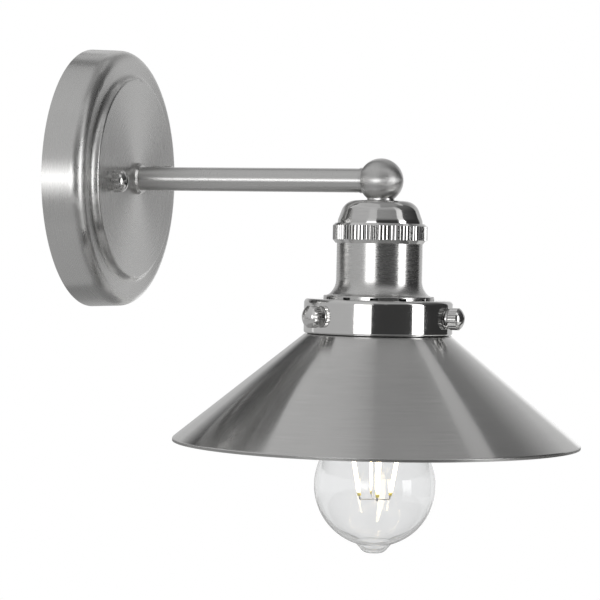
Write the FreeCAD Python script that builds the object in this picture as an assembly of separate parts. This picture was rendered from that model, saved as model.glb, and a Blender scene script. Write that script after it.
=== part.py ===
import FreeCAD, Part
import math
import os

# Wall sconce: round stepped canopy, straight arm, ball, domed socket cup, shade holder,
# cone shade and a clear filament lamp. All lengths are millimetres. The origin is the centre
# of the canopy's open back on the wall, the arm runs along -Y and the lamp hangs along -Z.
# A "depth" is measured out from the wall, a "drop" down from the arm's centre line.

# Canopy, a spun dish with a stepped front
canopy_back_radius = 70.0
canopy_wall_taper = 1.0
canopy_sheet = 1.0
canopy_shoulder_depth = 21.6
canopy_shoulder_round = 6.4
canopy_step_radius = 55.8
canopy_step_round = 4.2
canopy_disc_radius = 53.5
canopy_disc_depth = 25.0
canopy_disc_round = 1.6

# Swivel crossbar behind the canopy: a strap on the wall box, a strap that turns on its eyelet
strap_sheet = 1.8
strap_width = 18.0
box_strap_half = 55.0
canopy_strap_half = 43.0
strap_end_round = 7.0
swivel_angle = 4.5
eyelet_bore_radius = 6.7
eyelet_wall = 0.6
eyelet_flange_radius = 8.6
eyelet_flange_thickness = 0.6
box_screw_spacing = 80.0
box_slot_length = 15.0
box_slot_width = 4.6
tapped_collar_height = 2.6
tapped_collar_wall = 1.4
ground_screw_drop = 27.0
ground_screw_radius = 2.4
ground_head_radius = 4.6
ground_head_height = 2.8
ground_washer_radius = 5.6
ground_washer_thickness = 0.8
driver_slot_width = 1.0
driver_slot_depth = 1.0

# Knurled thumbscrews: two hold the canopy, three hold the shade
canopy_screw_spacing = 70.0
thumb_radius = 5.7
thumb_length = 8.6
thumb_collar_radius = 5.3
thumb_collar_length = 1.0
thumb_groove_radius = 4.7
thumb_groove_length = 0.6
thumb_end_radius = 4.9
thumb_dome_height = 1.8
thumb_bevel_length = 0.9
thumb_knurl_count = 26
thumb_knurl_depth = 0.4
thumb_shank_radius = 2.0
thumb_slot_width = 1.2
thumb_slot_depth = 1.4
canopy_shank_end_depth = 1.0
shade_screw_count = 3
shade_screw_first_angle = 96.5
canopy_slot_angle = 84.0
shade_slot_angle = 40.0

# Arm tube, its collar on the canopy and the fittings on the threaded nipples
arm_reach = 162.5
arm_tube_radius = 6.35
arm_collar_radius = 8.6
arm_collar_length = 3.0
arm_collar_bevel = 1.1
nipple_radius = 5.0
nipple_bore_radius = 3.75
nipple_grip = 12.0
nipple_past_nut = 2.1
nut_sides = 6
nut_across_flats = 14.0
nut_height = 5.0
washer_radius = 7.8
washer_thickness = 1.0
washer_split = 1.2
lug_radius = 8.6
lug_thickness = 0.8
lug_tab_width = 5.0
lug_tab_reach = 15.0

# Ball that turns the arm down into the head
ball_radius = 11.7
ball_flat_drop = 10.5
ball_foot_radius = 7.2
ball_boss_radius = 6.7
ball_boss_reach = 11.0
ball_thread_depth = 5.0
head_nipple_end = 33.0

# Dome cap, knurled ring and flared socket shell
dome_radius = 22.3
dome_shoulder_radius = 18.4
dome_shoulder_round = 8.0
dome_skirt_height = 1.4
dome_skirt_round = 6.0
dome_sheet = 1.0
cup_thread_radius = 20.9
cup_thread_length = 4.8
ring_top = 22.5
ring_height = 10.5
ring_radius = 24.8
ring_bevel = 1.3
ring_foot_bevel_width = 1.6
ring_foot_bevel_height = 1.9
ring_knurl_count = 80
ring_knurl_depth = 0.55
shell_radius = 22.5
shell_sheet = 0.8
shell_flare_height = 4.8
shell_flare_share = 0.6
shell_flare_round = 10.0
shell_foot_round = 4.0
shell_skirt_radius = 29.0
shell_lip_height = 1.9
shell_lip_round = 0.5
vent_count = 12
vent_first_angle = 19.0
vent_width = 4.2
vent_height = 1.1

# Shade holder, the polished ring that carries the shade
holder_top = 62.3
holder_height = 18.1
holder_radius = 39.1
holder_wall = 1.8
holder_plate = 1.6
holder_shoulder_round = 2.2
holder_inner_round = 1.0
holder_edge_round = 1.2
retainer_radius = 25.0
retainer_height = 6.0
retainer_flute_count = 16
retainer_flute_radius = 1.3

# Shade, a spun cone with a straight neck
shade_sheet = 1.0
shade_neck_radius = 35.7
shade_neck_height = 14.6
shade_neck_round = 0.9
shade_shoulder_radius = 38.4
shade_shoulder_round = 1.5
shade_rim_radius = 106.9
shade_drop = 57.0
shade_rim_lip = 1.4
shade_rim_round = 1.2

# Lampholder inside the cup: moulded cap and body, brass thread, contacts and terminals
socket_radius = 17.5
socket_wall = 2.0
socket_cap_top = 31.2
socket_cap_plate = 3.0
socket_cap_round = 4.0
socket_split = 46.0
bushing_radius = 7.0
bushing_top = 27.0
bushing_foot = 38.0
bushing_flange_radius = 9.5
bushing_flange_thickness = 1.2
socket_flange_radius = 21.0
socket_flange_height = 4.2
socket_thread_radius = 19.3
socket_thread_depth = 0.7
socket_thread_pitch = 2.0
socket_thread_turns = 5
socket_foot = 80.8
socket_floor = 52.0
socket_floor_thickness = 3.6
socket_cavity_radius = 14.0
screw_shell_foot = 79.6
screw_shell_sheet = 0.4
contact_width = 6.0
contact_length = 14.0
contact_sheet = 0.5
rivet_radius = 1.5
rivet_head_radius = 2.4
rivet_head_height = 0.8
terminal_offset = 8.0
terminal_head_radius = 3.0
terminal_head_height = 2.2
terminal_shank_radius = 1.4
terminal_shank_length = 3.0

# Leads from the canopy through the arm to the lampholder
lead_radius = 1.0
lead_spread = 1.6
lead_bend_radius = 6.0
lead_tail_bend_radius = 10.0
lead_depth_in_canopy = 9.0
lead_tail_height = 26.0
lead_tail_reach = 32.0
lead_fan_top = 37.0
lead_fan_foot = 44.6
ground_lead_radius = 0.8

# Clear filament lamp: straight neck, long taper, half a globe and the sealed-off nipple
bulb_radius = 32.0
bulb_length = 139.0
bulb_wall = 0.8
bulb_neck_radius = 12.5
bulb_neck_in_cap = 5.0
bulb_neck_length = 9.0
bulb_neck_round = 20.0
bulb_shoulder_height = 5.0
bulb_shoulder_round = 30.0
bulb_base_angle = 70.0
bulb_nipple_radius = 9.3
bulb_nipple_height = 4.7
bulb_nipple_round = 3.0
bulb_nipple_end_radius = 5.2
bulb_nipple_end_round = 5.0
cap_length = 26.5
cap_top_radius = 10.4
cap_top_height = 1.0
cap_crest_radius = 13.15
cap_root_radius = 12.4
cap_pitch = 3.63
cap_turns = 4
cap_sheet = 0.3
insulator_height = 3.4
insulator_plug_height = 2.0
insulator_small_radius = 5.0
insulator_large_radius = 9.9
lamp_contact_radius = 4.4
lamp_contact_height = 1.0
lamp_contact_round = 0.6
stem_flare_radius = 11.0
stem_wall = 1.0
stem_radius = 4.0
stem_flare_length = 15.0
stem_press_length = 10.0
stem_rod_radius = 1.6
filament_count = 4
filament_first_angle = 64.0
filament_length = 38.0
filament_radius = 0.95
filament_low_radius = 8.2
filament_high_radius = 14.8
filament_low_height = 30.0
filament_tab_length = 2.0
filament_tab_radius = 0.45
support_wire_radius = 0.22

# Knurling, as shares of a tooth's pitch and depth
knurl_half_land_share = 0.28
knurl_crown_share = 0.25

# Clearances and tolerances
thread_clearance = 0.05
hole_clearance = 0.4
cup_thread_clearance = 0.1
bulb_thread_clearance = 0.25
swivel_clearance = 0.1
seat_gap = 0.3
cut_overrun = 2.0
same_point = 1e-6

# Places worked out from the sizes above
canopy_inside = canopy_disc_depth - canopy_sheet
collar_front = canopy_disc_depth + arm_collar_length
nut_wall_side = canopy_inside - lug_thickness - washer_thickness - nut_height
nipple_bore_fit = nipple_radius + thread_clearance
tapped_radius = thumb_shank_radius + thread_clearance
ring_foot = ring_top + ring_height
holder_foot = holder_top + holder_height
shade_top = holder_foot + seat_gap
shade_rim = shade_top + shade_drop
socket_thread_fit = socket_thread_radius + cup_thread_clearance
socket_ceiling = socket_floor + socket_floor_thickness
terminal_top = socket_floor - terminal_head_height
bulb_top = socket_ceiling + contact_sheet + seat_gap
bulb_tip = bulb_top + bulb_length
cap_foot = bulb_top + cap_length
cap_thread_top = bulb_top + lamp_contact_height + insulator_height + cap_top_height
eyelet_radius = eyelet_bore_radius + eyelet_wall
base_angle = math.radians(bulb_base_angle)
globe_drop = (bulb_radius - bulb_nipple_radius * math.cos(base_angle)) / math.sin(base_angle)
globe_centre = bulb_tip - bulb_nipple_height - globe_drop
filament_low = bulb_tip - filament_low_height
filament_rise = math.sqrt(filament_length ** 2 - (filament_high_radius - filament_low_radius) ** 2)

full_turn = 360.0
right = FreeCAD.Vector(1, 0, 0)
up = FreeCAD.Vector(0, 0, 1)
down = FreeCAD.Vector(0, 0, -1)
out_from_wall = FreeCAD.Vector(0, -1, 0)
wall_centre = FreeCAD.Vector(0, 0, 0)
head_centre = out_from_wall * arm_reach
wall_axis = (wall_centre, out_from_wall)
head_axis = (head_centre, down)
own_axis = (FreeCAD.Vector(0, 0, 0), up)


def at(axis, radius, along, angle=0.0):
    """Point at a radius and a distance along an axis, turned by an angle round it."""
    base, direction = axis
    side = FreeCAD.Rotation(direction, angle).multVec(right)
    return base + side * radius + direction * along


def round_corner(before, corner, after, radius):
    """First tangent point, middle and last tangent point of the round at a corner."""
    back = (before - corner).normalize()
    ahead = (after - corner).normalize()
    half_angle = back.getAngle(ahead) / 2
    reach = radius / math.tan(half_angle)
    inward = (back + ahead).normalize()
    middle = corner + inward * (radius / math.sin(half_angle) - radius)
    return corner + back * reach, middle, corner + ahead * reach


def corner_reach(before, corner, after, radius):
    """Length that a round takes off the straight run on each side of its corner."""
    return radius / math.tan((before - corner).getAngle(after - corner) / 2) if radius else 0


def fitted_rounds(points, rounds):
    """The rounds, each one limited where it would meet the next on the run between them."""
    following = points[1:] + points[:1]
    corners = zip(points[-1:] + points[:-1], points, following, rounds)
    reaches = [corner_reach(*corner) for corner in corners]
    runs = [(end - start).Length for start, end in zip(points, following)]
    taken = [first + second for first, second in zip(reaches, reaches[1:] + reaches[:1])]
    room = [min(1, run / both) if both else 1 for run, both in zip(runs, taken)]
    return [radius * min(room[index - 1], room[index]) for index, radius in enumerate(rounds)]


def rounded_path(points, rounds, closed):
    """Edges of straight runs joined by tangent arcs, with one round for each point."""
    stops = []
    rounds = fitted_rounds(points, rounds)
    for index, point in enumerate(points):
        is_end = not closed and index in (0, len(points) - 1)
        if is_end or not rounds[index]:
            stops.append((point, None, point))
        else:
            after = points[(index + 1) % len(points)]
            stops.append(round_corner(points[index - 1], point, after, rounds[index]))
    edges = []
    for index, (first, middle, last) in enumerate(stops):
        if middle is not None:
            edges.append(Part.Arc(first, middle, last).toShape())
        following = stops[(index + 1) % len(stops)][0]
        is_open_end = not closed and index == len(stops) - 1
        if not is_open_end and not last.isEqual(following, same_point):
            edges.append(Part.LineSegment(last, following).toShape())
    return edges


def turned(axis, corners):
    """Solid turned from a closed outline of (radius, along) or (radius, along, round)."""
    points = [at(axis, corner[0], corner[1]) for corner in corners]
    rounds = [corner[2] if len(corner) > 2 else 0 for corner in corners]
    outline = Part.Wire(rounded_path(points, rounds, True))
    return Part.Face(outline).revolve(axis[0], axis[1], full_turn)


def square_end(corner, normal, wall):
    """Far corner of a sheet's cut end, square to the axis or along it, whichever is nearer."""
    radius, along, _ = corner
    if abs(normal[0]) > abs(normal[1]):
        return radius + wall / normal[0], along, 0
    return radius, along + wall / normal[1], 0


def sheet(corners, wall):
    """Closed outline of bent sheet: an open path and the same path moved over by the wall."""
    path = [(corner + (0,))[:3] for corner in corners]
    normals = []
    for (radius, along, _), (next_radius, next_along, _) in zip(path, path[1:]):
        run = math.hypot(next_radius - radius, next_along - along)
        normals.append(((along - next_along) / run, (next_radius - radius) / run))
    moved = [square_end(path[0], normals[0], wall)]
    for (radius, along, corner_round), before, after in zip(path[1:-1], normals, normals[1:]):
        share = wall / (1 + before[0] * after[0] + before[1] * after[1])
        turn = before[0] * after[1] - before[1] * after[0]
        new_round = corner_round - wall * math.copysign(1, turn) if corner_round else 0
        moved.append((radius + share * (before[0] + after[0]),
                      along + share * (before[1] + after[1]),
                      max(new_round, 0)))
    moved.append(square_end(path[-1], normals[-1], wall))
    return path + moved[::-1]


def rod(start, end, radius):
    """Round bar between two points."""
    return Part.makeCylinder(radius, (end - start).Length, start, end - start)


def drilled(solid, start, direction, length, radius):
    """Solid with a round hole of a given length from a start point."""
    return solid.cut(Part.makeCylinder(radius, length, start, direction))


def tube(axis, start, end, outer, inner):
    """Plain turned tube."""
    return turned(axis, [(inner, start), (outer, start), (outer, end), (inner, end)])


def driver_slot(width, depth, diameter, top):
    """Cutter for a screwdriver slot across the top of a screw that stands along Z."""
    length = diameter + cut_overrun
    corner = FreeCAD.Vector(-length / 2, -width / 2, top - depth)
    return Part.makeBox(length, width, depth + cut_overrun, corner)


def placed(shape, base, direction):
    """Copy of a shape that stands along Z, set at a point and turned to a direction."""
    copy = shape.copy()
    copy.Placement = FreeCAD.Placement(base, FreeCAD.Rotation(up, direction))
    return copy


def knurl(solid, axis, radius, depth, count, start, end):
    """Cut grooves between crowned teeth into a turned piece, between two places on its axis."""
    direction = axis[1]
    pitch = full_turn / count
    land = radius - depth * knurl_crown_share
    tooth = [(radius - depth, 0), (land, 1 / 2 - knurl_half_land_share), (radius, 1 / 2),
             (land, 1 / 2 + knurl_half_land_share)]
    points = [at(axis, reach, start, (index + share) * pitch)
              for index in range(count) for reach, share in tooth]
    star = Part.Face(Part.makePolygon(points + points[:1])).extrude(direction * (end - start))
    blank = Part.makeCylinder(radius + cut_overrun, end - start, at(axis, 0, start), direction)
    return solid.cut(blank.cut(star))


def hex_nut(axis, start, end):
    """Hexagon nut on a threaded nipple."""
    corner_radius = nut_across_flats / math.sqrt(3)
    points = [at(axis, corner_radius, start, side * full_turn / nut_sides) for side in range(nut_sides)]
    block = Part.Face(Part.makePolygon(points + points[:1])).extrude(axis[1] * (end - start))
    return block.cut(Part.makeCylinder(nipple_bore_fit, end - start, at(axis, 0, start), axis[1]))


def rounded_plate(corners, rounds, depth, thickness):
    """Flat plate parallel to the wall from (across, height) corners."""
    points = [FreeCAD.Vector(across, -depth, height) for across, height in corners]
    outline = Part.Wire(rounded_path(points, rounds, True))
    return Part.Face(outline).extrude(out_from_wall * thickness)


def strap(across, tall, depth):
    """Flat strap with rounded corners, by half its width and half its height."""
    corners = [(across, tall), (across, -tall), (-across, -tall), (-across, tall)]
    return rounded_plate(corners, [strap_end_round] * len(corners), depth, strap_sheet)


def box_strap():
    """Upright strap: slots for the box screws, ground hole, and a drawn and flanged eyelet."""
    plate = strap(strap_width / 2, box_strap_half, 0)
    slot_half = box_slot_length / 2
    slot_side = box_slot_width / 2
    for side in (1, -1):
        middle = side * box_screw_spacing / 2
        slot = [(slot_side, middle + slot_half), (slot_side, middle - slot_half),
                (-slot_side, middle - slot_half), (-slot_side, middle + slot_half)]
        plate = plate.cut(rounded_plate(slot, [slot_side] * len(slot), 0, strap_sheet))
    flange_start = 2 * strap_sheet + swivel_clearance
    end = flange_start + eyelet_flange_thickness
    eyelet = turned(wall_axis, [(0, 0), (eyelet_radius, 0), (eyelet_radius, flange_start),
                                (eyelet_flange_radius, flange_start), (eyelet_flange_radius, end), (0, end)])
    plate = drilled(plate.fuse(eyelet), wall_centre, out_from_wall, end, eyelet_bore_radius)
    ground = up * -ground_screw_drop
    return drilled(plate, ground, out_from_wall, strap_sheet, ground_screw_radius + thread_clearance)


def canopy_strap():
    """Cross strap that turns on the eyelet, with tapped collars for the canopy's screws."""
    plate = strap(canopy_strap_half, strap_width / 2, strap_sheet)
    plate = drilled(plate, wall_centre, out_from_wall, 2 * strap_sheet, eyelet_radius + swivel_clearance)
    length = strap_sheet + tapped_collar_height
    for side in (1, -1):
        hole = at(wall_axis, side * canopy_screw_spacing / 2, strap_sheet)
        collar = Part.makeCylinder(tapped_radius + tapped_collar_wall, length, hole, out_from_wall)
        plate = drilled(plate.fuse(collar), hole, out_from_wall, length, tapped_radius)
    plate.rotate(wall_centre, out_from_wall, swivel_angle)
    return plate


def ground_screw():
    """Slotted pan screw with a washer face, in the box strap's ground hole."""
    washer_top = ground_washer_thickness
    top = washer_top + ground_head_height
    bevel = ground_washer_thickness
    screw = turned(own_axis, [(0, -strap_sheet), (ground_screw_radius, -strap_sheet),
                              (ground_screw_radius, 0), (ground_washer_radius, 0),
                              (ground_washer_radius, washer_top), (ground_head_radius, washer_top),
                              (ground_head_radius, top, bevel), (0, top)])
    screw = screw.cut(driver_slot(driver_slot_width, driver_slot_depth, 2 * ground_head_radius, top))
    return placed(screw, FreeCAD.Vector(0, -strap_sheet, -ground_screw_drop), out_from_wall)


def canopy():
    """Spun dish: tapered wall, round shoulder, cove step up to the flat centre disc."""
    front = canopy_back_radius - canopy_wall_taper
    hole = nipple_radius + hole_clearance
    outer = [(canopy_back_radius, 0),
             (front, canopy_shoulder_depth, canopy_shoulder_round),
             (canopy_step_radius, canopy_shoulder_depth, canopy_step_round),
             (canopy_disc_radius, canopy_disc_depth, canopy_disc_round),
             (hole, canopy_disc_depth)]
    dish = turned(wall_axis, sheet(outer, canopy_sheet))
    for side in (1, -1):
        spot = at(wall_axis, side * canopy_screw_spacing / 2, canopy_inside, swivel_angle)
        dish = drilled(dish, spot, out_from_wall, canopy_sheet, thumb_shank_radius + hole_clearance)
    return dish


def thumbscrew(base, direction, shank_length, slot_angle):
    """Knurled head on a plain collar and groove, domed and slotted end, round shank."""
    groove_end = thumb_collar_length + thumb_groove_length
    barrel_end = thumb_length - thumb_dome_height - thumb_bevel_length
    head = turned(own_axis, [(0, 0), (thumb_collar_radius, 0), (thumb_collar_radius, thumb_collar_length),
                             (thumb_groove_radius, thumb_collar_length), (thumb_groove_radius, groove_end),
                             (thumb_radius, groove_end), (thumb_radius, barrel_end),
                             (thumb_end_radius, barrel_end + thumb_bevel_length),
                             (thumb_end_radius, thumb_length), (0, thumb_length)])
    dome = (thumb_end_radius ** 2 + thumb_dome_height ** 2) / (2 * thumb_dome_height)
    head = head.common(Part.makeSphere(dome, up * (thumb_length - dome)))
    head = knurl(head, own_axis, thumb_radius, thumb_knurl_depth, thumb_knurl_count, groove_end, barrel_end)
    slot = driver_slot(thumb_slot_width, thumb_slot_depth, 2 * thumb_radius, thumb_length)
    slot.rotate(wall_centre, up, slot_angle)
    shank = Part.makeCylinder(thumb_shank_radius, shank_length, wall_centre, down)
    return placed(head.cut(slot).fuse(shank), base, direction)


def canopy_screw(side):
    """Thumbscrew through the canopy into the turned strap, on one side of the arm."""
    base = at(wall_axis, side * canopy_screw_spacing / 2, canopy_disc_depth, swivel_angle)
    return thumbscrew(base, out_from_wall, canopy_disc_depth - canopy_shank_end_depth, canopy_slot_angle)


def shade_screw(index):
    """Thumbscrew through the holder's wall, its tip at the shade's neck."""
    angle = shade_screw_first_angle + index * full_turn / shade_screw_count
    middle = holder_top + holder_height / 2
    base = at(head_axis, holder_radius, middle, angle)
    direction = (base - at(head_axis, 0, middle)).normalize()
    shank_length = holder_radius - shade_neck_radius - seat_gap
    return thumbscrew(base, direction, shank_length, shade_slot_angle)


def arm_collar():
    """Turned flange between the canopy and the tube."""
    front = collar_front
    return turned(wall_axis, [(nipple_bore_fit, canopy_disc_depth), (arm_collar_radius, canopy_disc_depth),
                              (arm_collar_radius, front - arm_collar_bevel),
                              (arm_collar_radius - arm_collar_bevel, front), (nipple_bore_fit, front)])


def split_washer(axis, start):
    """Split spring washer round a nipple, its gap to the right."""
    ring = tube(axis, start, start + washer_thickness, washer_radius, nipple_bore_fit)
    base, direction = axis
    across = direction.cross(right) * (washer_split / 2)
    gap = [at(axis, 0, start) + across, at(axis, 0, start) - across]
    reach = right * (washer_radius + cut_overrun)
    face = Part.Face(Part.makePolygon([gap[0], gap[1], gap[1] + reach, gap[0] + reach, gap[0]]))
    return ring.cut(face.extrude(direction * washer_thickness))


def ground_lug():
    """Ring terminal under the arm's nut, with a tab for the bare ground wire."""
    start = canopy_inside - lug_thickness
    ring = Part.makeCylinder(lug_radius, lug_thickness, at(wall_axis, 0, start), out_from_wall)
    corner = FreeCAD.Vector(-lug_tab_width / 2, -canopy_inside, -lug_tab_reach)
    ring = ring.fuse(Part.makeBox(lug_tab_width, lug_thickness, lug_tab_reach, corner))
    return drilled(ring, at(wall_axis, 0, start), out_from_wall, lug_thickness, nipple_bore_fit)


def ball():
    """Turned ball with a boss for the arm and a short foot on the dome, bored for the leads."""
    to_wall = out_from_wall * -1
    body = Part.makeSphere(ball_radius, head_centre)
    body = body.fuse(Part.makeCylinder(ball_boss_radius, ball_boss_reach, head_centre, to_wall))
    body = body.fuse(Part.makeCylinder(ball_foot_radius, ball_flat_drop, head_centre, down))
    boss_face = head_centre + to_wall * ball_boss_reach
    flat = at(head_axis, 0, ball_flat_drop)
    body = drilled(body, boss_face, to_wall, ball_radius, ball_radius)
    body = drilled(body, flat, down, ball_radius, ball_radius)
    body = drilled(body, boss_face, out_from_wall, ball_thread_depth, nipple_bore_fit)
    body = drilled(body, flat, up, ball_thread_depth, nipple_bore_fit)
    body = drilled(body, head_centre, to_wall, ball_boss_reach, nipple_bore_radius)
    return drilled(body, head_centre, down, ball_flat_drop, nipple_bore_radius)


def dome_cap():
    """Spun dome whose threaded spigot goes down into the knurled ring."""
    outer = [(nipple_radius + hole_clearance, ball_flat_drop),
             (dome_shoulder_radius, ball_flat_drop, dome_shoulder_round),
             (dome_radius, ring_top - dome_skirt_height, dome_skirt_round),
             (dome_radius, ring_top),
             (cup_thread_radius, ring_top),
             (cup_thread_radius, ring_top + cup_thread_length)]
    return turned(head_axis, sheet(outer, dome_sheet))


def knurled_ring():
    """Turned ring that joins dome and shell, straight knurled between two bevels."""
    bore = cup_thread_radius + cup_thread_clearance
    knurl_top = ring_top + ring_bevel
    knurl_foot = ring_foot - ring_foot_bevel_height
    ring = turned(head_axis, [(bore, ring_top), (ring_radius - ring_bevel, ring_top),
                              (ring_radius, knurl_top), (ring_radius, knurl_foot),
                              (ring_radius - ring_foot_bevel_width, ring_foot), (bore, ring_foot)])
    return knurl(ring, head_axis, ring_radius, ring_knurl_depth, ring_knurl_count, knurl_top, knurl_foot)


def socket_shell():
    """Spun cup that flares to a skirt; vent notches cut its lip where it stands on the holder."""
    skirt_top = holder_top - shell_lip_height
    flare_foot = shell_radius + (shell_skirt_radius - shell_radius) * shell_flare_share
    outer = [(cup_thread_radius, ring_foot - cup_thread_length),
             (cup_thread_radius, ring_foot),
             (shell_radius, ring_foot),
             (shell_radius, skirt_top - shell_flare_height, shell_flare_round),
             (flare_foot, skirt_top, shell_foot_round),
             (shell_skirt_radius, skirt_top, shell_lip_round),
             (shell_skirt_radius, holder_top)]
    shell = turned(head_axis, sheet(outer, shell_sheet))
    start = at(head_axis, shell_skirt_radius - 2 * shell_sheet, holder_top)
    notch = Part.makeBox(2 * shell_sheet + cut_overrun, vent_width, vent_height,
                         start - FreeCAD.Vector(0, vent_width / 2, 0))
    for index in range(vent_count):
        cutter = notch.copy()
        cutter.rotate(head_centre, down, vent_first_angle + index * full_turn / vent_count)
        shell = shell.cut(cutter)
    return shell


def shade_holder():
    """Deep ring with a closed top plate, tapped through its wall for the three thumbscrews."""
    inner = holder_radius - holder_wall
    plate_foot = holder_top + holder_plate
    ring = turned(head_axis, [(socket_thread_fit, holder_top),
                              (holder_radius, holder_top, holder_shoulder_round),
                              (holder_radius, holder_foot, holder_edge_round),
                              (inner, holder_foot),
                              (inner, plate_foot, holder_inner_round),
                              (socket_thread_fit, plate_foot)])
    middle = holder_top + holder_height / 2
    for index in range(shade_screw_count):
        angle = shade_screw_first_angle + index * full_turn / shade_screw_count
        start = at(head_axis, inner - cut_overrun, middle, angle)
        end = at(head_axis, holder_radius + cut_overrun, middle, angle)
        ring = ring.cut(rod(start, end, tapped_radius))
    return ring


def retaining_ring():
    """Fluted ring nut that clamps the holder's plate against the lampholder's flange."""
    start = holder_top + holder_plate
    ring = tube(head_axis, start, start + retainer_height, retainer_radius, socket_thread_fit)
    for index in range(retainer_flute_count):
        spot = at(head_axis, retainer_radius, start, index * full_turn / retainer_flute_count)
        ring = ring.cut(Part.makeCylinder(retainer_flute_radius, retainer_height, spot, down))
    return ring


def shade():
    """Spun cone with a straight neck inside the holder and a turned-down lip at the rim."""
    outer = [(shade_neck_radius, shade_top - shade_neck_height),
             (shade_neck_radius, shade_top, shade_neck_round),
             (shade_shoulder_radius, shade_top, shade_shoulder_round),
             (shade_rim_radius, shade_rim - shade_rim_lip, shade_rim_round),
             (shade_rim_radius, shade_rim)]
    return turned(head_axis, sheet(outer, shade_sheet))


def socket_bushing():
    """Brass bushing, threaded on the head nipple, flange on the lampholder's cap."""
    flange_top = socket_cap_top - bushing_flange_thickness
    return turned(head_axis, [(nipple_bore_fit, bushing_top), (bushing_radius, bushing_top),
                              (bushing_radius, flange_top), (bushing_flange_radius, flange_top),
                              (bushing_flange_radius, socket_cap_top), (bushing_radius, socket_cap_top),
                              (bushing_radius, bushing_foot), (nipple_bore_fit, bushing_foot)])


def socket_cap():
    """Moulded cap over the terminals."""
    hole = bushing_radius + thread_clearance
    inner = socket_radius - socket_wall
    plate_foot = socket_cap_top + socket_cap_plate
    return turned(head_axis, [(hole, socket_cap_top), (socket_radius, socket_cap_top, socket_cap_round),
                              (socket_radius, socket_split), (inner, socket_split),
                              (inner, plate_foot, socket_wall), (hole, plate_foot)])


def socket_body():
    """Moulded body: terminal cavity, floor, shoulder flange, outside thread and lamp bore."""
    flange_top = holder_top - socket_flange_height
    root = socket_thread_radius - socket_thread_depth
    bore = cap_crest_radius + bulb_thread_clearance + screw_shell_sheet + seat_gap
    corners = [(0, socket_floor), (socket_cavity_radius, socket_floor), (socket_cavity_radius, socket_split),
               (socket_radius, socket_split), (socket_radius, flange_top),
               (socket_flange_radius, flange_top), (socket_flange_radius, holder_top), (root, holder_top)]
    for turn in range(socket_thread_turns):
        start = holder_top + turn * socket_thread_pitch
        corners.append((socket_thread_radius, start + socket_thread_pitch / 2))
        corners.append((root, start + socket_thread_pitch))
    corners += [(root, socket_foot), (bore, socket_foot), (bore, socket_ceiling), (0, socket_ceiling)]
    body = turned(head_axis, corners)
    hole = terminal_shank_radius + thread_clearance
    for side in (1, -1):
        spot = at(head_axis, side * terminal_offset, socket_floor)
        body = drilled(body, spot, down, terminal_shank_length, hole)
    rivet = at(head_axis, 0, socket_floor)
    return drilled(body, rivet, down, socket_floor_thickness, rivet_radius + thread_clearance)


def thread_corners(root, crest, start):
    """V thread outline of the lamp's cap or of the shell that takes it."""
    corners = [(root, start)]
    for turn in range(cap_turns):
        corners.append((crest, start + (turn + 1 / 2) * cap_pitch))
        corners.append((root, start + (turn + 1) * cap_pitch))
    return corners


def screw_shell():
    """Pressed brass shell with the lamp thread, seated in the body's bore."""
    root = cap_root_radius + bulb_thread_clearance
    crest = cap_crest_radius + bulb_thread_clearance
    start = cap_thread_top
    inner = [(root, socket_ceiling)] + thread_corners(root, crest, start)[1:]
    inner += [(crest, start + (cap_turns + 1 / 2) * cap_pitch), (crest, screw_shell_foot)]
    return turned(head_axis, sheet(inner, -screw_shell_sheet))


def centre_contact():
    """Brass contact leaf under the floor, held by a rivet."""
    corner = at(head_axis, -contact_length / 2, socket_ceiling + contact_sheet)
    corner = corner - FreeCAD.Vector(0, contact_width / 2, 0)
    leaf = Part.makeBox(contact_length, contact_width, contact_sheet, corner)
    head = at(head_axis, 0, socket_floor - rivet_head_height)
    length = rivet_head_height + socket_floor_thickness
    rivet = Part.makeCylinder(rivet_radius, length, head, down)
    return leaf.fuse(rivet).fuse(Part.makeCylinder(rivet_head_radius, rivet_head_height, head, down))


def terminal_screws():
    """Two slotted brass screws in the terminal cavity."""
    screw = turned(own_axis, [(0, -terminal_shank_length), (terminal_shank_radius, -terminal_shank_length),
                              (terminal_shank_radius, 0), (terminal_head_radius, 0),
                              (terminal_head_radius, terminal_head_height), (0, terminal_head_height)])
    screw = screw.cut(driver_slot(driver_slot_width, driver_slot_depth, 2 * terminal_head_radius,
                                  terminal_head_height))
    pair = [placed(screw, at(head_axis, side * terminal_offset, socket_floor), up) for side in (1, -1)]
    return Part.makeCompound(pair)


def lead(points, bends, radius, name):
    """Insulated wire along straight runs joined by tangent arcs."""
    edges = rounded_path(points, bends, False)
    path = Part.Wire(edges)
    section = Part.Wire(Part.makeCircle(radius, points[0], points[1] - points[0]))
    wire = path.makePipeShell([section], True, False)
    ratio = wire.Volume / (math.pi * radius ** 2 * path.Length)
    radii = [round(edge.Curve.Radius, 1) for edge in edges if hasattr(edge.Curve, "Radius")]
    print(name, "length", round(path.Length, 1), "volume share", round(ratio, 4), "bend radii", radii)
    return wire


def supply_lead(side, name):
    """Lead from the canopy through arm, ball and head nipple to one terminal screw."""
    near = side * lead_spread
    depth = -lead_depth_in_canopy
    points = [FreeCAD.Vector(side * lead_tail_reach, depth, lead_tail_height),
              FreeCAD.Vector(near, depth, lead_tail_height),
              FreeCAD.Vector(near, depth, 0),
              FreeCAD.Vector(near, -arm_reach, 0),
              FreeCAD.Vector(near, -arm_reach, -lead_fan_top),
              FreeCAD.Vector(side * terminal_offset, -arm_reach, -lead_fan_foot),
              FreeCAD.Vector(side * terminal_offset, -arm_reach, -terminal_top)]
    bend = lead_bend_radius
    return lead(points, [0, lead_tail_bend_radius, bend, bend, bend, bend, 0], lead_radius, name)


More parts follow.
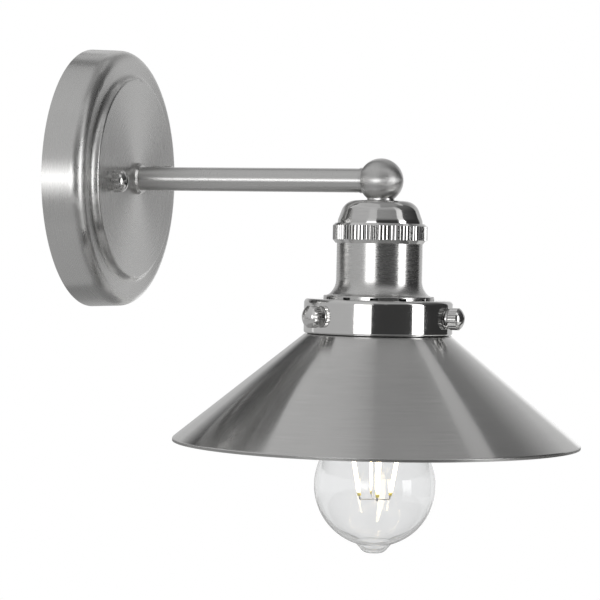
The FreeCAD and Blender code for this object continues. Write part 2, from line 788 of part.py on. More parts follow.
def ground_lead():
    """Bare wire from the ring terminal down to the ground screw."""
    depth = canopy_inside - ground_lead_radius - seat_gap
    screw_top = strap_sheet + ground_washer_thickness + ground_head_height
    points = [FreeCAD.Vector(0, -depth, -lug_tab_reach),
              FreeCAD.Vector(0, -depth, -ground_screw_drop),
              FreeCAD.Vector(0, -screw_top, -ground_screw_drop)]
    return lead(points, [0, lead_bend_radius, 0], ground_lead_radius, "ground_lead")


def bulb_glass():
    """Blown pear-shaped envelope, closed at the tip by its sealed-off nipple."""
    outer = [(bulb_neck_radius, cap_foot - bulb_neck_in_cap),
             (bulb_neck_radius, cap_foot + bulb_neck_length, bulb_neck_round),
             (bulb_radius, globe_centre - bulb_shoulder_height, bulb_shoulder_round),
             (bulb_radius, globe_centre + bulb_radius * math.tan(base_angle / 2), bulb_radius),
             (bulb_nipple_radius, bulb_tip - bulb_nipple_height, bulb_nipple_round),
             (bulb_nipple_end_radius, bulb_tip, bulb_nipple_end_round),
             (0, bulb_tip)]
    return turned(head_axis, sheet(outer, bulb_wall))


def bulb_cap():
    """Pressed screw cap of the lamp."""
    top = cap_thread_top - cap_top_height
    outer = [(cap_top_radius, top)] + thread_corners(cap_root_radius, cap_crest_radius, cap_thread_top)
    outer += [(cap_crest_radius, cap_thread_top + (cap_turns + 1 / 2) * cap_pitch),
              (cap_crest_radius, cap_foot)]
    return turned(head_axis, sheet(outer, cap_sheet))


def bulb_insulator():
    """Black glass cone between the cap's thread and its contact."""
    top = bulb_top + lamp_contact_height
    foot = top + insulator_height
    return turned(head_axis, [(0, top), (insulator_small_radius, top), (insulator_large_radius, foot),
                              (insulator_large_radius, foot + insulator_plug_height),
                              (0, foot + insulator_plug_height)])


def lamp_contact():
    """Soldered button on the end of the cap."""
    foot = bulb_top + lamp_contact_height
    return turned(head_axis, [(0, bulb_top), (lamp_contact_radius, bulb_top, lamp_contact_round),
                              (lamp_contact_radius, foot), (0, foot)])


def bulb_stem():
    """Glass flare, press and centre rod that hold the filaments."""
    top = cap_foot - bulb_neck_in_cap
    flare_foot = top + stem_flare_length
    press_foot = flare_foot + stem_press_length
    rod_foot = filament_low + filament_tab_length
    inner = stem_radius - stem_wall
    return turned(head_axis, [(stem_flare_radius, top), (stem_radius, flare_foot),
                              (stem_radius, press_foot), (stem_rod_radius, press_foot + stem_rod_radius),
                              (stem_rod_radius, rod_foot), (0, rod_foot), (0, flare_foot),
                              (inner, flare_foot - stem_wall), (stem_flare_radius - stem_wall, top)])


def filament_ends(index):
    """Low and high end of one filament, and the step along it for its metal tabs."""
    angle = filament_first_angle + index * full_turn / filament_count
    low = at(head_axis, filament_low_radius, filament_low, angle)
    high = at(head_axis, filament_high_radius, filament_low - filament_rise, angle)
    return low, high, (high - low).normalize() * filament_tab_length


def filaments():
    """Four straight phosphor-coated filaments that lean together towards the tip."""
    rods = []
    for index in range(filament_count):
        low, high, _ = filament_ends(index)
        rods.append(rod(low, high, filament_radius))
    return Part.makeCompound(rods)


def filament_supports():
    """Tabs at the filaments' ends, and the wires from them to the press and the rod."""
    wires = []
    press = cap_foot - bulb_neck_in_cap + stem_flare_length + stem_press_length / 2
    for index in range(filament_count):
        angle = filament_first_angle + index * full_turn / filament_count
        low, high, tab = filament_ends(index)
        low_end = low - tab
        high_end = high + tab
        rod_side = at(head_axis, stem_rod_radius + thread_clearance, -low_end.z, angle)
        press_side = at(head_axis, stem_radius + support_wire_radius, press, angle)
        low_tab = rod(low_end, low, filament_tab_radius)
        high_tab = rod(high, high_end, filament_tab_radius)
        wires.append(low_tab.fuse(rod(rod_side, low_end, support_wire_radius)))
        wires.append(high_tab.fuse(rod(press_side, high_end, support_wire_radius)))
    return Part.makeCompound(wires)


def nodes():
    """Every piece of the sconce under its name."""
    nipple_wall_end = nut_wall_side - nipple_past_nut
    side_thread_end = ball_boss_reach - ball_thread_depth + seat_gap
    foot_thread_end = ball_flat_drop - ball_thread_depth + seat_gap
    boss_face = arm_reach - ball_boss_reach
    dome_inside = ball_flat_drop + dome_sheet
    head_nut_top = dome_inside + washer_thickness
    return {
        "box_strap": box_strap(),
        "canopy_strap": canopy_strap(),
        "ground_screw": ground_screw(),
        "canopy": canopy(),
        "canopy_screw_left": canopy_screw(-1),
        "canopy_screw_right": canopy_screw(1),
        "arm_nipple": tube(wall_axis, nipple_wall_end, collar_front + nipple_grip, nipple_radius,
                           nipple_bore_radius),
        "ground_lug": ground_lug(),
        "arm_lock_washer": split_washer(wall_axis, nut_wall_side + nut_height),
        "arm_nut": hex_nut(wall_axis, nut_wall_side, nut_wall_side + nut_height),
        "arm_collar": arm_collar(),
        "arm_tube": tube(wall_axis, collar_front, boss_face, arm_tube_radius, nipple_bore_fit),
        "ball_nipple": tube(wall_axis, boss_face - nipple_grip, arm_reach - side_thread_end, nipple_radius,
                            nipple_bore_radius),
        "ball": ball(),
        "head_nipple": tube(head_axis, foot_thread_end, head_nipple_end, nipple_radius, nipple_bore_radius),
        "head_lock_washer": split_washer(head_axis, dome_inside),
        "head_nut": hex_nut(head_axis, head_nut_top, head_nut_top + nut_height),
        "dome_cap": dome_cap(),
        "knurled_ring": knurled_ring(),
        "socket_shell": socket_shell(),
        "shade_holder": shade_holder(),
        "retaining_ring": retaining_ring(),
        "socket_bushing": socket_bushing(),
        "socket_cap": socket_cap(),
        "socket_body": socket_body(),
        "screw_shell": screw_shell(),
        "centre_contact": centre_contact(),
        "terminal_screws": terminal_screws(),
        "hot_lead": supply_lead(-1, "hot_lead"),
        "neutral_lead": supply_lead(1, "neutral_lead"),
        "ground_lead": ground_lead(),
        "shade": shade(),
        "shade_screw_front": shade_screw(0),
        "shade_screw_left": shade_screw(1),
        "shade_screw_right": shade_screw(2),
        "bulb_glass": bulb_glass(),
        "bulb_cap": bulb_cap(),
        "bulb_insulator": bulb_insulator(),
        "lamp_contact": lamp_contact(),
        "bulb_stem": bulb_stem(),
        "filaments": filaments(),
        "filament_supports": filament_supports(),
    }


os.makedirs("parts", exist_ok=True)
for name, shape in nodes().items():
    shape.exportStep("parts/" + name + ".step")
    print(name, "solids", len(shape.Solids), "volume", round(shape.Volume, 2), "valid", shape.isValid())
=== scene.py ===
import math

import bpy
from mathutils import Matrix, Vector


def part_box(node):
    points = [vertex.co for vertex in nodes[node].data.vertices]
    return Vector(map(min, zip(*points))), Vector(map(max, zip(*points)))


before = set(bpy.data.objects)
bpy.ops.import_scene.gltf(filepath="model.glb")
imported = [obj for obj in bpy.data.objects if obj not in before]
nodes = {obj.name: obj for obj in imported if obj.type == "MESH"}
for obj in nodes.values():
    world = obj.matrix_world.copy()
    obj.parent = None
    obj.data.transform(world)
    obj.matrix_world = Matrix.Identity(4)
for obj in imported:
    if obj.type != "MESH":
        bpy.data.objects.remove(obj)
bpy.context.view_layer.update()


# Wall side: the spun canopy, nickel plated and then brushed while it turned, so that its fine
# lines run in circles round the arm. The rim keeps a satin glow, the flat disc shows a soft bow tie.
nickel_tone = (0.62, 0.617, 0.61)
wall_centre = (0.0, 0.0, 0.0)
along_arm = (math.radians(90), 0.0, 0.0)
wall_spindle = (wall_centre, along_arm, "Y")


def combined(tree, operation, first, second):
    """One sum on two numbers; a socket is linked, a plain number is set."""
    node = tree.nodes.new("ShaderNodeMath")
    node.operation = operation
    for slot, source in zip(node.inputs, (first, second)):
        if isinstance(source, (int, float)):
            slot.default_value = source
        else:
            tree.links.new(source, slot)
    return node.outputs[0]


def piece_place(tree, centre, turn):
    """Place on the piece, measured from a centre and turned so that its axis is Z."""
    place = tree.nodes.new("ShaderNodeTexCoord")
    shift = tree.nodes.new("ShaderNodeVectorMath")
    shift.operation = "SUBTRACT"
    shift.inputs[1].default_value = centre
    tree.links.new(place.outputs["Object"], shift.inputs[0])
    turned = tree.nodes.new("ShaderNodeVectorRotate")
    turned.rotation_type = "EULER_XYZ"
    turned.inputs["Rotation"].default_value = turn
    tree.links.new(shift.outputs[0], turned.inputs["Vector"])
    return turned.outputs[0]


def grain_at(tree, place, scale, detail, roughness=0.5):
    """Grain at a scale per metre; its value runs from 0 to 1."""
    grain = tree.nodes.new("ShaderNodeTexNoise")
    grain.inputs["Scale"].default_value = scale
    grain.inputs["Detail"].default_value = detail
    grain.inputs["Roughness"].default_value = roughness
    tree.links.new(place, grain.inputs["Vector"])
    return grain.outputs["Fac"]


def mixed_grain(tree, first, second, first_share):
    """Two grains in one, the first with its share and the second with the rest."""
    strong = combined(tree, "MULTIPLY", first, first_share)
    weak = combined(tree, "MULTIPLY", second, 1.0 - first_share)
    return combined(tree, "ADD", strong, weak)


def between(tree, grain, low, high, start=0.3, end=0.7):
    """Number that goes from low to high as a grain goes from start to end."""
    spread = tree.nodes.new("ShaderNodeMapRange")
    for key, number in (("From Min", start), ("From Max", end), ("To Min", low), ("To Max", high)):
        spread.inputs[key].default_value = number
    tree.links.new(grain, spread.inputs["Value"])
    return spread.outputs["Result"]


def two_tone(tree, grain, dark, light, start=0.3, end=0.7):
    """Colour that goes from dark to light as a grain goes from start to end."""
    ramp = tree.nodes.new("ShaderNodeValToRGB")
    ramp.color_ramp.elements[0].position = start
    ramp.color_ramp.elements[0].color = (*dark, 1.0)
    ramp.color_ramp.elements[1].position = end
    ramp.color_ramp.elements[1].color = (*light, 1.0)
    tree.links.new(grain, ramp.inputs["Fac"])
    return ramp.outputs["Color"]


def toned(tone, share, lift=0.0):
    """Tone made darker or lighter by a share, and lifted by a little, never past white."""
    return tuple(min(part * share + lift, 1.0) for part in tone)


def grained(tree, shader, grain, tones, roughs):
    """Colour and roughness of a shader that follow one grain, each from its first value to its second."""
    tree.links.new(two_tone(tree, grain, *tones), shader.inputs["Base Color"])
    tree.links.new(between(tree, grain, *roughs), shader.inputs["Roughness"])


def relief(tree, shader, grain, height):
    """Bump on a shader that follows a grain, its height in metres."""
    bump = tree.nodes.new("ShaderNodeBump")
    bump.inputs["Strength"].default_value = 1.0
    bump.inputs["Distance"].default_value = height
    tree.links.new(grain, bump.inputs["Height"])
    tree.links.new(bump.outputs["Normal"], shader.inputs["Normal"])


def new_finish(name):
    """Empty material with one shader, ready for its grain."""
    finish = bpy.data.materials.new(name)
    finish.use_nodes = True
    tree = finish.node_tree
    return finish, tree, tree.nodes["Principled BSDF"]


def round_lines(tree, place, pitch, lean, breaks):
    """Brushing lines in circles round the axis, a pitch apart in metres.

    Lean spaces them along the axis as well as out from it, and more breaks make each line shorter.
    """
    parts = tree.nodes.new("ShaderNodeSeparateXYZ")
    tree.links.new(place, parts.inputs[0])
    flat = tree.nodes.new("ShaderNodeCombineXYZ")
    tree.links.new(parts.outputs["X"], flat.inputs["X"])
    tree.links.new(parts.outputs["Y"], flat.inputs["Y"])
    radius = tree.nodes.new("ShaderNodeVectorMath")
    radius.operation = "LENGTH"
    tree.links.new(flat.outputs[0], radius.inputs[0])
    away = tree.nodes.new("ShaderNodeVectorMath")
    away.operation = "NORMALIZE"
    tree.links.new(flat.outputs[0], away.inputs[0])
    around = tree.nodes.new("ShaderNodeSeparateXYZ")
    tree.links.new(away.outputs[0], around.inputs[0])
    along = combined(tree, "MULTIPLY", parts.outputs["Z"], lean)
    across = combined(tree, "ADD", radius.outputs["Value"], along)
    lines = tree.nodes.new("ShaderNodeCombineXYZ")
    tree.links.new(combined(tree, "MULTIPLY", around.outputs["X"], breaks), lines.inputs["X"])
    tree.links.new(combined(tree, "MULTIPLY", around.outputs["Y"], breaks), lines.inputs["Y"])
    tree.links.new(combined(tree, "MULTIPLY", across, 1.0 / pitch), lines.inputs["Z"])
    return grain_at(tree, lines.outputs[0], scale=1.0, detail=3.0, roughness=0.6)


def spun_nickel(name, spindle, tone, rough, grooves, lean=1.1, pitch=0.00035, depth=0.000004):
    """Nickel brushed in circles: stretched highlights, fine lines and faint handling marks."""
    centre, turn, axis = spindle
    finish, tree, metal = new_finish(name)
    place = piece_place(tree, centre, turn)
    lines = round_lines(tree, place, pitch, lean, breaks=3.0)
    marks = grain_at(tree, place, scale=38.0, detail=4.0)
    both = mixed_grain(tree, lines, marks, first_share=0.6)
    grained(tree, metal, both, (toned(tone, 0.93), toned(tone, 1.05)), (rough * 0.85, rough * 1.2))
    metal.inputs["Metallic"].default_value = 1.0
    metal.inputs["Anisotropic"].default_value = grooves
    metal.inputs["Anisotropic Rotation"].default_value = 0.25
    turning = tree.nodes.new("ShaderNodeTangent")
    turning.direction_type = "RADIAL"
    turning.axis = axis
    tree.links.new(turning.outputs[0], metal.inputs["Tangent"])
    relief(tree, metal, lines, height=depth)
    return finish


def dress(finish, *names):
    """Give a finish to every slot of the named pieces."""
    for name in names:
        mesh = nodes[name].data
        mesh.materials.clear()
        mesh.materials.append(finish)


canopy_finish = spun_nickel("canopy_satin_nickel", wall_spindle, nickel_tone, rough=0.27, grooves=0.88,
                            lean=-1.1, pitch=0.0005, depth=0.000003)
dress(canopy_finish, "canopy")


# Behind the canopy: the two straps of the swivel cross bar, zinc-plated sheet steel, with the nipple,
# nut and split washer that clamp the arm. Plating leaves a faint bluish cloud and a dull, even shine.
zinc_tone = (0.60, 0.62, 0.65)
upright = (0.0, 0.0, 0.0)


def plated_steel(name, tone, rough):
    """Dull plate or solder: cloudy, with a fine spangle."""
    finish, tree, metal = new_finish(name)
    place = piece_place(tree, wall_centre, upright)
    cloud = grain_at(tree, place, scale=90.0, detail=5.0)
    spangle = grain_at(tree, place, scale=2600.0, detail=2.0)
    grained(tree, metal, cloud, (toned(tone, 0.82), tone), (rough * 0.8, rough * 1.3))
    metal.inputs["Metallic"].default_value = 1.0
    relief(tree, metal, spangle, height=0.000003)
    return finish


zinc_finish = plated_steel("zinc_plated_steel", zinc_tone, rough=0.34)
dress(zinc_finish, "box_strap", "canopy_strap", "arm_nipple", "arm_lock_washer", "arm_nut")


# Ground screw: a slotted steel screw plated and dyed green, so that it is told from the others.
# The dye is thin, and wears off in specks.
green_dye = (0.05, 0.30, 0.11)


def dyed_steel(name, tone, rough):
    """Thin coloured coat over plated steel, with worn specks."""
    finish, tree, coat = new_finish(name)
    place = piece_place(tree, wall_centre, upright)
    cloud = grain_at(tree, place, scale=700.0, detail=4.0)
    worn = toned(tone, 1.6, lift=0.03)
    tree.links.new(two_tone(tree, cloud, tone, worn, start=0.45, end=0.8), coat.inputs["Base Color"])
    tree.links.new(between(tree, cloud, rough * 0.8, rough * 1.3), coat.inputs["Roughness"])
    coat.inputs["Metallic"].default_value = 0.6
    relief(tree, coat, cloud, height=0.00001)
    return finish


dress(dyed_steel("green_dyed_screw", green_dye, rough=0.35), "ground_screw")


# Arm: a half-inch steel tube and its turned collar, both brushed round and plated, screwed on a
# threaded nipple. The tube's lines are finer than the canopy's and show one long bright band.
arm_finish = spun_nickel("arm_brushed_nickel", wall_spindle, nickel_tone, rough=0.30, grooves=0.8,
                         lean=1.0)
collar_finish = spun_nickel("arm_collar_nickel", wall_spindle, nickel_tone, rough=0.14, grooves=0.4,
                            lean=1.0)
dress(arm_finish, "arm_tube")
dress(collar_finish, "arm_collar")


# Ball: turned from steel bar, drilled for the leads, brushed about the arm's line and plated, so that
# its shine spreads along the arm in one soft band. Threaded nipples hold it to the arm and the head.
head_centre = (0.0, -0.1625, 0.0)
ball_spindle = (head_centre, along_arm, "Y")
ball_finish = spun_nickel("ball_satin_nickel", ball_spindle, nickel_tone, rough=0.30, grooves=0.97,
                          lean=1.0, pitch=0.0008)
dress(ball_finish, "ball")
dress(zinc_finish, "ball_nipple", "head_nipple", "head_lock_washer", "head_nut")


# Head: spun dome cap, turned and knurled ring, spun socket shell that flares to a vented skirt.
# The dome and ring are buffed brighter than the shell, whose brushing softens each reflection.
ring_tone = (0.68, 0.677, 0.67)
head_spindle = (head_centre, upright, "Z")
dome_finish = spun_nickel("dome_buffed_nickel", head_spindle, nickel_tone, rough=0.11, grooves=0.4)
ring_finish = spun_nickel("ring_buffed_nickel", head_spindle, ring_tone, rough=0.10, grooves=0.0)
shell_finish = spun_nickel("shell_brushed_nickel", head_spindle, nickel_tone, rough=0.26, grooves=0.6,
                           depth=0.000002)
dress(dome_finish, "dome_cap")
dress(ring_finish, "knurled_ring")
dress(shell_finish, "socket_shell")


# Shade holder: a deep drawn ring, polished to a mirror and plated; three knurled thumbscrews in
# its wall grip the shade's neck, and two more of the same kind hold the canopy on the cross bar.
mirror_tone = (0.70, 0.697, 0.69)


def polished_nickel(name, tone, rough):
    """Mirror plate with faint polishing haze and hair scratches."""
    finish, tree, metal = new_finish(name)
    place = piece_place(tree, head_centre, upright)
    haze = grain_at(tree, place, scale=120.0, detail=4.0)
    scratches = round_lines(tree, place, pitch=0.0006, lean=1.1, breaks=2.0)
    both = mixed_grain(tree, haze, scratches, first_share=0.5)
    grained(tree, metal, both, (toned(tone, 0.96), tone), (rough * 0.6, rough * 1.6))
    metal.inputs["Metallic"].default_value = 1.0
    relief(tree, metal, scratches, height=0.0000006)
    return finish


holder_finish = polished_nickel("holder_polished_nickel", mirror_tone, rough=0.08)
thumbscrew_finish = polished_nickel("thumbscrew_polished_nickel", mirror_tone, rough=0.12)
dress(holder_finish, "shade_holder")
dress(thumbscrew_finish, "shade_screw_front", "shade_screw_left", "shade_screw_right")
dress(thumbscrew_finish, "canopy_screw_left", "canopy_screw_right")


# Shade: a spun steel cone, brushed in circles round its neck and plated, the same inside and out.
# The soft boxes and cards show on it as straight wedges; its trimmed edge is left dull.
shade_finish = spun_nickel("shade_brushed_nickel", head_spindle, nickel_tone, rough=0.18, grooves=0.96,
                           lean=-1.0, pitch=0.001)
shade_tree = shade_finish.node_tree
shade_metal = shade_tree.nodes["Principled BSDF"]
edge_dullness = 0.5
edge_width = 0.0011
edge_fade = 0.0003
edge_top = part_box("shade")[0].z + edge_width
brushed_from = edge_top + edge_fade
shade_parts = shade_tree.nodes.new("ShaderNodeSeparateXYZ")
shade_tree.links.new(piece_place(shade_tree, wall_centre, upright), shade_parts.inputs[0])
dullness = between(shade_tree, shade_parts.outputs["Z"], edge_dullness, 0.0, edge_top, brushed_from)
brushed = shade_metal.inputs["Roughness"].links[0].from_socket
shade_tree.links.new(combined(shade_tree, "ADD", brushed, dullness), shade_metal.inputs["Roughness"])
dress(shade_finish, "shade")


# Lampholder: moulded black phenolic cap and body inside the socket shell, and below them the fluted
# ring that clamps the shade holder. The mouldings are hard and slightly glossy, with faint flow lines.
phenolic_tone = (0.026, 0.024, 0.022)


def moulded(name, tone, rough):
    """Hard moulding with a faint flow pattern."""
    finish, tree, plastic = new_finish(name)
    place = piece_place(tree, head_centre, upright)
    flow = grain_at(tree, place, scale=240.0, detail=6.0, roughness=0.6)
    grained(tree, plastic, flow, (tone, toned(tone, 1.5, lift=0.004)), (rough * 0.8, rough * 1.3))
    relief(tree, plastic, flow, height=0.000008)
    return finish


dress(moulded("black_phenolic", phenolic_tone, rough=0.30), "retaining_ring", "socket_cap", "socket_body")


# Metal of the lampholder, such as its screw shell, contact and terminals, and the ground wire's ring
# terminal: pressed and turned brass under a faint cloud of tarnish.
brass_tone = (0.76, 0.58, 0.27)


def worked_brass(name, tone, rough):
    """Brass or copper with a warm tarnish cloud and drawn lines."""
    finish, tree, metal = new_finish(name)
    place = piece_place(tree, head_centre, upright)
    tarnish = grain_at(tree, place, scale=160.0, detail=5.0)
    draw_marks = grain_at(tree, place, scale=1800.0, detail=2.0)
    tarnished = (tone[0] * 0.72, tone[1] * 0.66, tone[2] * 0.6)
    grained(tree, metal, tarnish, (tarnished, tone), (rough * 1.4, rough * 0.8))
    metal.inputs["Metallic"].default_value = 1.0
    relief(tree, metal, draw_marks, height=0.000004)
    return finish


brass_finish = worked_brass("pressed_brass", brass_tone, rough=0.22)
dress(brass_finish, "ground_lug", "socket_bushing", "screw_shell", "centre_contact", "terminal_screws")


# Leads: stranded wire in extruded insulation, black for the live side and white for the neutral,
# and a bare copper wire from the ring terminal to the ground screw.
black_tone = (0.018, 0.018, 0.018)
white_tone = (0.74, 0.74, 0.71)
copper_tone = (0.80, 0.42, 0.26)


def insulation(name, tone, rough):
    """Extruded insulation with slight scuffs."""
    finish, tree, skin = new_finish(name)
    place = piece_place(tree, wall_centre, upright)
    scuff = grain_at(tree, place, scale=500.0, detail=4.0)
    grained(tree, skin, scuff, (tone, toned(tone, 1.15, lift=0.012)), (rough * 0.8, rough * 1.25))
    relief(tree, skin, scuff, height=0.00001)
    return finish


dress(insulation("black_insulation", black_tone, rough=0.45), "hot_lead")
dress(insulation("white_insulation", white_tone, rough=0.45), "neutral_lead")
dress(worked_brass("bare_copper", copper_tone, rough=0.28), "ground_lead")


# Lamp: a clear blown envelope fused to a glass stem and cemented into a pressed and plated screw
# cap, which has a black glass insulator and a soldered contact.
envelope_tone = (0.915, 0.918, 0.92)
stem_tone = (0.95, 0.955, 0.955)
cap_tone = (0.70, 0.69, 0.66)
insulator_tone = (0.014, 0.014, 0.016)
solder_tone = (0.52, 0.52, 0.53)


def blown_glass(name, tone, ripple):
    """Clear glass with the faint ripple of blown work, its height in metres."""
    finish, tree, glass = new_finish(name)
    place = piece_place(tree, head_centre, upright)
    swell = grain_at(tree, place, scale=55.0, detail=2.0)
    tree.links.new(two_tone(tree, swell, toned(tone, 0.985), tone), glass.inputs["Base Color"])
    glass.inputs["Roughness"].default_value = 0.0
    glass.inputs["IOR"].default_value = 1.5
    glass.inputs["Transmission Weight"].default_value = 1.0
    relief(tree, glass, swell, height=ripple)
    return finish


dress(blown_glass("clear_bulb_glass", envelope_tone, ripple=0.00003), "bulb_glass")
dress(blown_glass("stem_glass", stem_tone, ripple=0.00001), "bulb_stem")
dress(plated_steel("lamp_cap_plate", cap_tone, rough=0.24), "bulb_cap")
dress(moulded("insulator_black_glass", insulator_tone, rough=0.10), "bulb_insulator")
dress(plated_steel("contact_solder", solder_tone, rough=0.42), "lamp_contact")


# Filaments: four glass rods set with chips and coated with yellow phosphor, lit. The coat glows
# almost white along the rod and stays yellow at the last millimetres, where no chip sits.
phosphor_tones = ((1.0, 0.84, 0.12), (1.0, 0.90, 0.30))
glow_tone = (1.0, 0.80, 0.52, 1.0)
glow_strength = 7.0
bare_end = 0.0035
unlit_share = 0.4
wire_tone = (0.42, 0.42, 0.42)


def lit_phosphor(name, foot, top):
    """Phosphor that glows between two heights and is plain yellow near them."""
    finish, tree, coat = new_finish(name)
    place = piece_place(tree, head_centre, upright)
    grain = grain_at(tree, place, scale=900.0, detail=3.0)
    tree.links.new(two_tone(tree, grain, *phosphor_tones), coat.inputs["Base Color"])
    coat.inputs["Roughness"].default_value = 0.6
    parts = tree.nodes.new("ShaderNodeSeparateXYZ")
    tree.links.new(place, parts.inputs[0])
    unlit = bare_end * unlit_share
    rise = between(tree, parts.outputs["Z"], 0.0, 1.0, foot + unlit, foot + bare_end)
    fall = between(tree, parts.outputs["Z"], 1.0, 0.0, top - bare_end, top - unlit)
    glow = combined(tree, "MULTIPLY", combined(tree, "MULTIPLY", rise, fall), glow_strength)
    coat.inputs["Emission Color"].default_value = glow_tone
    tree.links.new(glow, coat.inputs["Emission Strength"])
    relief(tree, coat, grain, height=0.00004)
    return finish


filament_foot, filament_top = (corner.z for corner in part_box("filaments"))
dress(lit_phosphor("lit_filament_phosphor", filament_foot, filament_top), "filaments")
dress(plated_steel("drawn_support_wire", wire_tone, rough=0.35), "filament_supports")


# Studio: a pale floor well below the lamp and white all round. Two upright soft boxes stand in front,
# feathered at top and foot, with light, grey and black cards at every other side, above and below,
# so that the plated metal has something to reflect.
camera_side = -72.1
studio_centre = Vector((0.0, -0.10, -0.05))
card_columns = 16
card_rows = 8


def heading(side, height):
    """Direction at an angle to the right of the camera, as seen from the lamp, and a height."""
    turn = math.radians(camera_side + side)
    rise = math.radians(height)
    return Vector((math.sin(turn) * math.cos(rise), -math.cos(turn) * math.cos(rise), math.sin(rise)))


def card(name, sides, heights, distance, shades, glow=1.0):
    """Curved card that only reflections see, between two angles each way, shaded from foot to top."""
    corners, faces = [], []
    for row in range(card_rows + 1):
        height = heights[0] + (heights[1] - heights[0]) * row / card_rows
        for column in range(card_columns + 1):
            side = sides[0] + (sides[1] - sides[0]) * column / card_columns
            corners.append(studio_centre + heading(side, height) * distance)
    for row in range(card_rows):
        for column in range(card_columns):
            first = row * (card_columns + 1) + column
            faces.append((first, first + 1, first + card_columns + 2, first + card_columns + 1))
    mesh = bpy.data.meshes.new(name)
    mesh.from_pydata(corners, [], faces)
    board = bpy.data.objects.new(name, mesh)
    bpy.context.scene.collection.objects.link(board)
    board.visible_camera = False
    board.visible_diffuse = False
    board.visible_transmission = False
    board.visible_shadow = False
    paint = bpy.data.materials.new(name)
    paint.use_nodes = True
    tree = paint.node_tree
    tree.nodes.clear()
    place = tree.nodes.new("ShaderNodeTexCoord")
    parts = tree.nodes.new("ShaderNodeSeparateXYZ")
    tree.links.new(place.outputs["Generated"], parts.inputs[0])
    light = tree.nodes.new("ShaderNodeEmission")
    foot_tone, top_tone = ((shade, shade, shade) for shade in shades)
    blend = two_tone(tree, parts.outputs["Z"], foot_tone, top_tone, start=0.0, end=1.0)
    tree.links.new(blend, light.inputs["Color"])
    light.inputs["Strength"].default_value = glow
    out = tree.nodes.new("ShaderNodeOutputMaterial")
    tree.links.new(light.outputs[0], out.inputs["Surface"])
    mesh.materials.append(paint)


# The left soft box with a light card above it, and low cards along the left and in front.
left_box_sides = (-37, -11.5)
left_of_front_sides = (-180, -11.5)
front_sides = (-11.5, 52.5)
box_distance = 2.0
low_distance = 1.0
card("left_soft_box", left_box_sides, (-4, 3), box_distance, (1.0, 1.0), glow=4.4)
card("left_soft_box_top_edge", left_box_sides, (3, 14), box_distance, (0.95, 0.24), glow=3.4)
card("left_soft_box_foot_edge", left_box_sides, (-15, -4), box_distance, (0.24, 0.95), glow=3.4)
card("left_lower_card", left_of_front_sides, (-34, -14), low_distance, (0.46, 0.48))
card("front_lower_card", front_sides, (-34, -18), low_distance, (0.26, 0.16))
card("left_upper_card", left_box_sides, (14, 53), box_distance, (0.8, 0.66))

# The right soft box with a light card above it.
right_box_sides = (52, 70.5)
card("right_soft_box", right_box_sides, (-4, 12), box_distance, (1.0, 1.0), glow=4.4)
card("right_soft_box_top_edge", right_box_sides, (12, 26), box_distance, (0.95, 0.32), glow=3.8)
card("right_soft_box_foot_edge", right_box_sides, (-20, -4), box_distance, (0.22, 0.95), glow=3.8)
card("right_upper_card", right_box_sides, (26, 60), box_distance, (1.3, 0.55))

# Black cards in front and on the right, fading to grey at the top, and a grey one on the left.
right_sides = (70.5, 130)
left_sides = (-120, -37)
wall_distance = 2.2
card("front_black_card", front_sides, (-30, 22), wall_distance, (0.035, 0.065))
card("front_upper_card", front_sides, (22, 60), wall_distance, (0.10, 0.58))
card("right_black_card", right_sides, (-30, 20), wall_distance, (0.03, 0.05))
card("right_upper_black_card", right_sides, (20, 60), wall_distance, (0.05, 0.20))
card("left_grey_card", left_sides, (-30, 52), wall_distance, (0.52, 0.62))

# Behind on the left: grey, black and one lighter streak, one above another.
left_back_sides = (-180, -125)
card("left_back_low_card", left_back_sides, (-14, 14), wall_distance, (0.50, 0.60))
card("left_back_fade_card", left_back_sides, (14, 24), wall_distance, (0.56, 0.08))
card("left_back_dark_card", left_back_sides, (24, 38), wall_distance, (0.08, 0.13))
card("left_back_streak_card", left_back_sides, (38, 43), wall_distance, (0.36, 0.36))
card("left_back_upper_card", left_back_sides, (43, 51.5), wall_distance, (0.20, 0.22))

# Straight behind, behind on the right, and the high cards that close the gap to the top ones.
right_back_sides = (130, 180)
near_wall_distance = 2.1
card("back_light_card", (168, 192), (20, 36), near_wall_distance, (0.78, 0.72))
card("back_light_high_card", (160, 200), (36, 53), near_wall_distance, (0.72, 0.60))
card("back_right_card", (130, 158), (-30, 20), wall_distance, (0.62, 0.62))
card("back_right_edge_card", (158, 180), (-30, 20), wall_distance, (1.6, 0.70))
card("back_right_middle_card", right_back_sides, (20, 42), wall_distance, (0.60, 0.30))
card("back_right_high_card", right_back_sides, (42, 60), wall_distance, (0.32, 0.32))
card("left_back_high_card", (-180, -152), (51.5, 60), wall_distance, (0.26, 0.27))
card("back_right_streak_card", (112, 150), (51.5, 59.5), near_wall_distance, (0.68, 0.68))

# Overhead, and just above the floor.
top_distance = 2.6
floor_card_distance = 0.55
dark_floor_card_distance = 0.5
card("top_left_card", (-152, 0), (51.5, 90), top_distance, (0.66, 0.60))
card("top_right_card", (0, 208), (60, 90), top_distance, (0.34, 0.38))
card("floor_left_card", left_of_front_sides, (-90, -30), floor_card_distance, (0.46, 0.50))
card("floor_back_dark_card", (-180, -135), (-80, -32), dark_floor_card_distance, (0.26, 0.33))
card("floor_right_card", (-11.5, 180), (-90, -30), floor_card_distance, (0.24, 0.28))

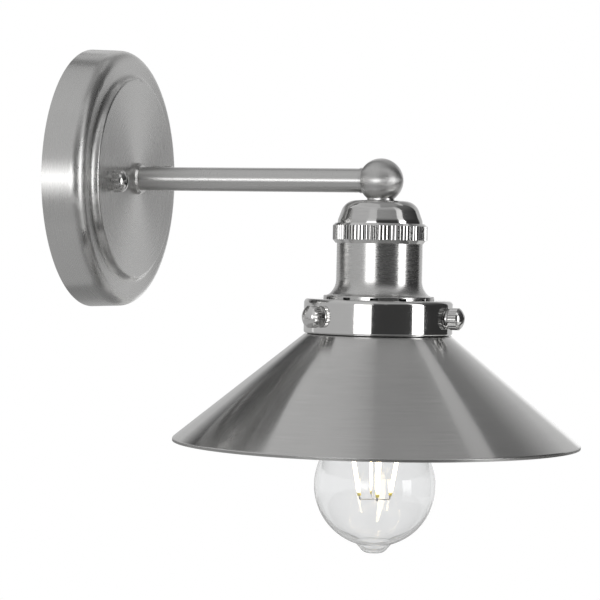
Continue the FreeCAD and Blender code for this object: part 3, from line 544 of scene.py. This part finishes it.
floor_radius = 2.2
floor_height = -0.62
floor_corners = 64
rim = []
for step in range(floor_corners):
    turn = math.tau * step / floor_corners
    rim.append((floor_radius * math.cos(turn), floor_radius * math.sin(turn), floor_height))
floor_mesh = bpy.data.meshes.new("studio_floor")
floor_mesh.from_pydata(rim, [], [tuple(range(floor_corners))])
studio_floor = bpy.data.objects.new("studio_floor", floor_mesh)
bpy.context.scene.collection.objects.link(studio_floor)
floor_paint, floor_tree, floor_coat = new_finish("pale_floor")
floor_coat.inputs["Base Color"].default_value = (0.72, 0.72, 0.71, 1.0)
floor_coat.inputs["Roughness"].default_value = 0.9
floor_mesh.materials.append(floor_paint)

# The camera, reflections and glass see pure white all round; matt surfaces get a softer grey light.
world = bpy.data.worlds.new("white_surround")
bpy.context.scene.world = world
world.use_nodes = True
surround = world.node_tree
surround.nodes.clear()
ray = surround.nodes.new("ShaderNodeLightPath")
seen = combined(surround, "MAXIMUM", ray.outputs["Is Camera Ray"], ray.outputs["Is Glossy Ray"])
seen = combined(surround, "MAXIMUM", seen, ray.outputs["Is Transmission Ray"])
white = surround.nodes.new("ShaderNodeBackground")
white.inputs["Color"].default_value = (1.0, 1.0, 1.0, 1.0)
plain = surround.nodes.new("ShaderNodeBackground")
plain.inputs["Color"].default_value = (0.6, 0.6, 0.6, 1.0)
mix = surround.nodes.new("ShaderNodeMixShader")
surround.links.new(seen, mix.inputs["Fac"])
surround.links.new(plain.outputs[0], mix.inputs[1])
surround.links.new(white.outputs[0], mix.inputs[2])
out = surround.nodes.new("ShaderNodeOutputWorld")
surround.links.new(mix.outputs[0], out.inputs["Surface"])

lamp_distance = 2.4
lamp_size = 1.6


def soft_lamp(name, side, height, power):
    """Square soft lamp aimed at the object, which reflections and glass don't show."""
    lamp = bpy.data.lights.new(name, "AREA")
    lamp.shape = "SQUARE"
    lamp.size = lamp_size
    lamp.energy = power
    stand = bpy.data.objects.new(name, lamp)
    bpy.context.scene.collection.objects.link(stand)
    stand.location = studio_centre + heading(side, height) * lamp_distance
    stand.rotation_euler = (stand.location - studio_centre).to_track_quat("Z", "Y").to_euler()
    stand.visible_glossy = False
    stand.visible_transmission = False


soft_lamp("key_lamp", side=-28, height=40, power=40.0)
soft_lamp("fill_lamp", side=60, height=35, power=26.0)


# Camera: a long lens a little over a metre away, level with the head and turned 18 degrees off
# square to the arm, tipped and rolled by about a degree as in the photograph.
camera_height = 1.13
camera_roll = 1.13
camera_distance = 1.15
lens_pixels = 2167.0
photo_width = 600
film_width = 36.0
aim = Vector((0.0, -0.12, -0.06))
aim_right = -0.0009
aim_up = -0.0036

back = heading(0.0, camera_height)
level_right = Vector((0.0, 0.0, 1.0)).cross(back).normalized()
level_up = back.cross(level_right)
roll = math.radians(camera_roll)
view_right = level_right * math.cos(roll) + level_up * math.sin(roll)
view_up = level_up * math.cos(roll) - level_right * math.sin(roll)
camera_data = bpy.data.cameras.new("camera")
camera_data.sensor_width = film_width
camera_data.lens = lens_pixels * film_width / photo_width
camera = bpy.data.objects.new("camera", camera_data)
bpy.context.scene.collection.objects.link(camera)
spot = aim + view_right * aim_right + view_up * aim_up + back * camera_distance
camera.matrix_world = Matrix((
    (view_right.x, view_up.x, back.x, spot.x),
    (view_right.y, view_up.y, back.y, spot.y),
    (view_right.z, view_up.z, back.z, spot.z),
    (0.0, 0.0, 0.0, 1.0)))
bpy.context.scene.camera = camera
bpy.context.scene.view_settings.view_transform = "Standard"
